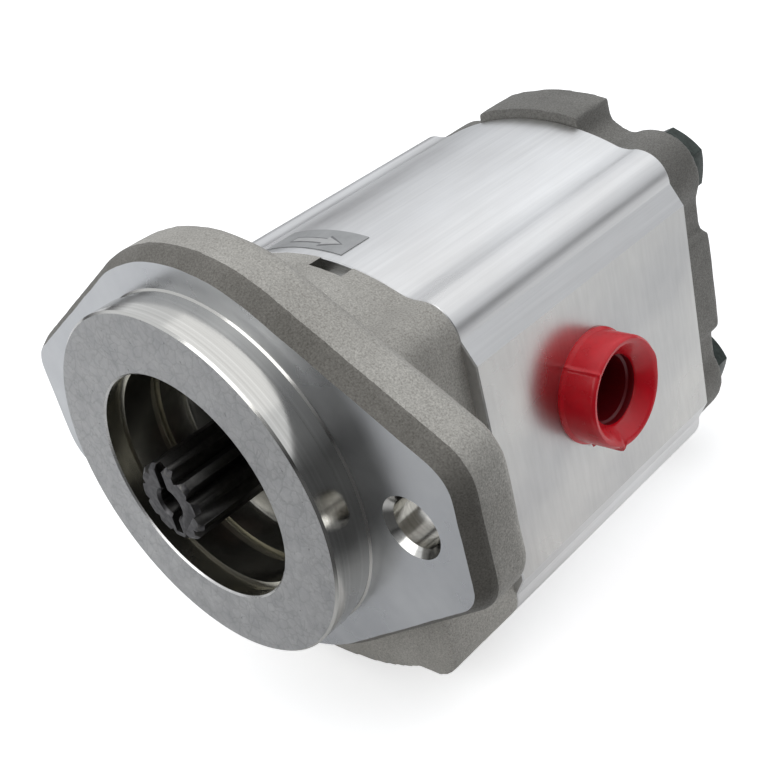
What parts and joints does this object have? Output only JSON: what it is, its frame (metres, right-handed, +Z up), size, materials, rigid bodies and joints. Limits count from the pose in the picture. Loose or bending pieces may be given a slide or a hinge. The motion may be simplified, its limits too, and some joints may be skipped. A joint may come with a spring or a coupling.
{
  "type": "hydraulic gear pump",
  "caption": "External gear pump for hydraulic oil, with a two-bolt pilot flange, a splined drive shaft, an extruded body and side ports, the outlet closed by a plug.",
  "frame": {"origin": "centre of the pilot on the flange's mounting face", "axes": "-Y along the drive shaft out of the pilot, towards the machine that drives it; +Y along the pump body; +X out of the outlet port; +Z up, from the driven gear to the drive gear"},
  "size_m": [0.1354, 0.1544, 0.1146],
  "materials": {
    "cast_iron": "as cast, machined on its faces",
    "body_aluminium": "satin extrusion",
    "gear_steel": "ground and oiled",
    "bearing_aluminium": "machined",
    "bush_bronze": "sintered",
    "seal_rubber": "moulded",
    "shaft_seal_rubber": "moulded",
    "backup_plastic": "moulded",
    "bright_steel": "ground",
    "black_oxide_steel": "black oxide",
    "plug_plastic": "glossy moulded plastic",
    "label_foil": "printed foil"
  },
  "bodies": {
    "housing": {"front_cover": "cast_iron", "pump_body": "body_aluminium", "rear_cover": "cast_iron", "front_bearing_block": "bearing_aluminium", "rear_bearing_block": "bearing_aluminium", "front_drive_bush": "bush_bronze", "front_idler_bush": "bush_bronze", "rear_drive_bush": "bush_bronze", "rear_idler_bush": "bush_bronze", "outer_shaft_seal": "shaft_seal_rubber", "inner_shaft_seal": "shaft_seal_rubber", "seal_garter_springs": "bright_steel", "seal_spacer": "bright_steel", "seal_circlip": "black_oxide_steel", "front_body_seal": "seal_rubber", "rear_body_seal": "seal_rubber", "front_pressure_seal": "seal_rubber", "rear_pressure_seal": "seal_rubber", "front_backup_ring": "backup_plastic", "rear_backup_ring": "backup_plastic", "front_dowel_pins": "bright_steel", "rear_dowel_pins": "bright_steel", "cover_bolts": "black_oxide_steel", "bolt_washers": "black_oxide_steel", "rotation_label": "label_foil"},
    "drive_gear": {"drive_gear_shaft": "gear_steel"},
    "idler_gear": {"idler_gear_shaft": "gear_steel"},
    "port_plug": {"outlet_port_plug": "plug_plastic"}
  },
  "joints": [
    {"name": "drive_spin", "type": "hinge", "parent": "housing", "child": "drive_gear", "pos_m": [0, 0, 0], "axis": [0, 1, 0], "continuous": true},
    {"name": "idler_spin", "type": "hinge", "parent": "housing", "child": "idler_gear", "pos_m": [0, 0, -0.0312], "axis": [0, 1, 0], "continuous": true},
    {"name": "plug_pull", "type": "slide", "parent": "housing", "child": "port_plug", "axis": [1, 0, 0], "range_m": [0, 0.03]}
  ],
  "couplings": [
    {"joint": "idler_spin", "follows": "drive_spin", "ratio": -1}
  ]
}
